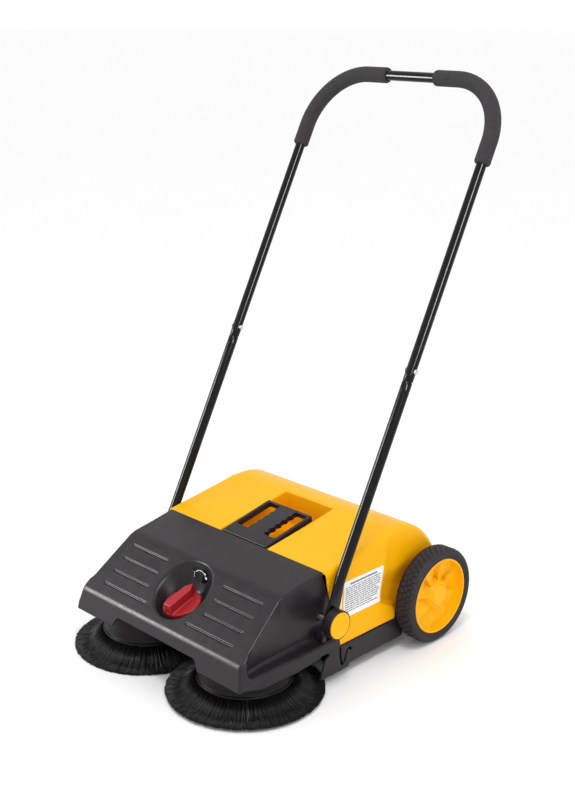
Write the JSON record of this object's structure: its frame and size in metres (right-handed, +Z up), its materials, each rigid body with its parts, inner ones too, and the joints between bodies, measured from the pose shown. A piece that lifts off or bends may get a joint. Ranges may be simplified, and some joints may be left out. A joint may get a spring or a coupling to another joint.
{
  "type": "push sweeper",
  "caption": "Hand-pushed floor sweeper with disc brushes under a sloping front hood, lift-out dirt container, spoked road wheels, height knob and folding tube handle with foam grips.",
  "frame": {"origin": "middle of the sweeper's outer box, on the floor", "axes": "+Z up, -Y towards the front hood and brushes, +X to the sweeper's side seen at the right from the front"},
  "size_m": [0.55, 0.7275, 1.0379],
  "materials": {
    "black_plastic": "fine moulded grain",
    "yellow_plastic": "satin moulded",
    "red_plastic": "satin moulded",
    "tyre": "matte, moulded tread",
    "black_tube": "gloss powder coat",
    "foam": "matte closed-cell foam",
    "steel": "zinc plated",
    "nylon": "natural nylon",
    "rubber": "matte",
    "bristle": "polypropylene filament"
  },
  "bodies": {
    "chassis": {"base_chassis": "black_plastic", "front_hood": "black_plastic", "wheel_bearing_left": "nylon", "wheel_bearing_right": "nylon", "pivot_bolt_left": "steel", "pivot_bolt_right": "steel"},
    "container": {"container_cover": "yellow_plastic", "container_tub": "black_plastic", "dirt_lip": "rubber", "carry_plate": "black_plastic"},
    "setting_knob": {"height_knob": "red_plastic", "knob_spindle": "steel", "lift_cam": "nylon"},
    "brush_frame": {"brush_deck": "black_plastic", "lift_spring": "steel", "shaft_bearing_inner_left": "nylon", "shaft_bearing_inner_right": "nylon", "shaft_bearing_outer_left": "nylon", "shaft_bearing_outer_right": "nylon", "spindle_bush_left": "nylon", "spindle_bush_right": "nylon", "belt_left": "rubber", "belt_right": "rubber"},
    "handle": {"upper_tube": "black_tube", "lower_tube_left": "black_tube", "lower_tube_right": "black_tube", "joint_sleeve_left": "nylon", "joint_sleeve_right": "nylon", "joint_bolt_left": "steel", "joint_bolt_right": "steel", "foam_grip_left": "foam", "foam_grip_right": "foam", "pivot_boss_left": "black_plastic", "pivot_boss_right": "black_plastic", "pivot_cap_left": "yellow_plastic", "pivot_cap_right": "yellow_plastic"},
    "wheel_left": {"tyre_left": "tyre", "rim_left": "yellow_plastic", "hub_cap_left": "yellow_plastic", "stub_axle_left": "steel", "drive_pulley_left": "nylon"},
    "cross_drive_left": {"cross_shaft_left": "steel", "driven_pulley_left": "nylon", "pinion_left": "nylon"},
    "brush_left": {"brush_spindle_left": "steel", "brush_drum_left": "black_plastic", "bristle_ring_left": "bristle", "crown_gear_left": "nylon"},
    "wheel_right": {"tyre_right": "tyre", "rim_right": "yellow_plastic", "hub_cap_right": "yellow_plastic", "stub_axle_right": "steel", "drive_pulley_right": "nylon"},
    "cross_drive_right": {"cross_shaft_right": "steel", "driven_pulley_right": "nylon", "pinion_right": "nylon"},
    "brush_right": {"brush_spindle_right": "steel", "brush_drum_right": "black_plastic", "bristle_ring_right": "bristle", "crown_gear_right": "nylon"}
  },
  "joints": [
    {"name": "handle_fold", "type": "hinge", "parent": "chassis", "child": "handle", "pos_m": [0, -0.112, 0.1306], "axis": [1, 0, 0], "range_deg": [-45, 110]},
    {"name": "container_lift", "type": "slide", "parent": "chassis", "child": "container", "axis": [0, 0, 1], "range_m": [0, 0.07]},
    {"name": "brush_lift", "type": "hinge", "parent": "chassis", "child": "brush_frame", "pos_m": [0, 0.1636, 0.0925], "axis": [-1, 0, 0], "range_deg": [0, 0.8], "deforming": ["lift_spring"]},
    {"name": "knob_turn", "type": "hinge", "parent": "chassis", "child": "setting_knob", "pos_m": [0, -0.2508, 0.1339], "axis": [0, -0.314, 0.9494], "range_deg": [0, 270]},
    {"name": "wheel_left_spin", "type": "hinge", "parent": "chassis", "child": "wheel_left", "pos_m": [-0.2442, 0.1636, 0.0925], "axis": [1, 0, 0], "continuous": true},
    {"name": "cross_drive_left_spin", "type": "hinge", "parent": "brush_frame", "child": "cross_drive_left", "pos_m": [-0.132, -0.2211, 0.1095], "axis": [1, 0, 0], "continuous": true},
    {"name": "brush_left_spin", "type": "hinge", "parent": "brush_frame", "child": "brush_left", "pos_m": [-0.132, -0.2211, 0.05], "axis": [0, 0, 1], "continuous": true},
    {"name": "wheel_right_spin", "type": "hinge", "parent": "chassis", "child": "wheel_right", "pos_m": [0.2442, 0.1636, 0.0925], "axis": [1, 0, 0], "continuous": true},
    {"name": "cross_drive_right_spin", "type": "hinge", "parent": "brush_frame", "child": "cross_drive_right", "pos_m": [0.132, -0.2211, 0.1095], "axis": [1, 0, 0], "continuous": true},
    {"name": "brush_right_spin", "type": "hinge", "parent": "brush_frame", "child": "brush_right", "pos_m": [0.132, -0.2211, 0.05], "axis": [0, 0, 1], "continuous": true}
  ],
  "couplings": [
    {"joint": "knob_turn", "follows": "brush_lift", "ratio": 337.5},
    {"joint": "cross_drive_left_spin", "follows": "wheel_left_spin", "ratio": 3},
    {"joint": "brush_left_spin", "follows": "wheel_left_spin", "ratio": 1.5},
    {"joint": "cross_drive_right_spin", "follows": "wheel_right_spin", "ratio": 3},
    {"joint": "brush_right_spin", "follows": "wheel_right_spin", "ratio": -1.5}
  ]
}
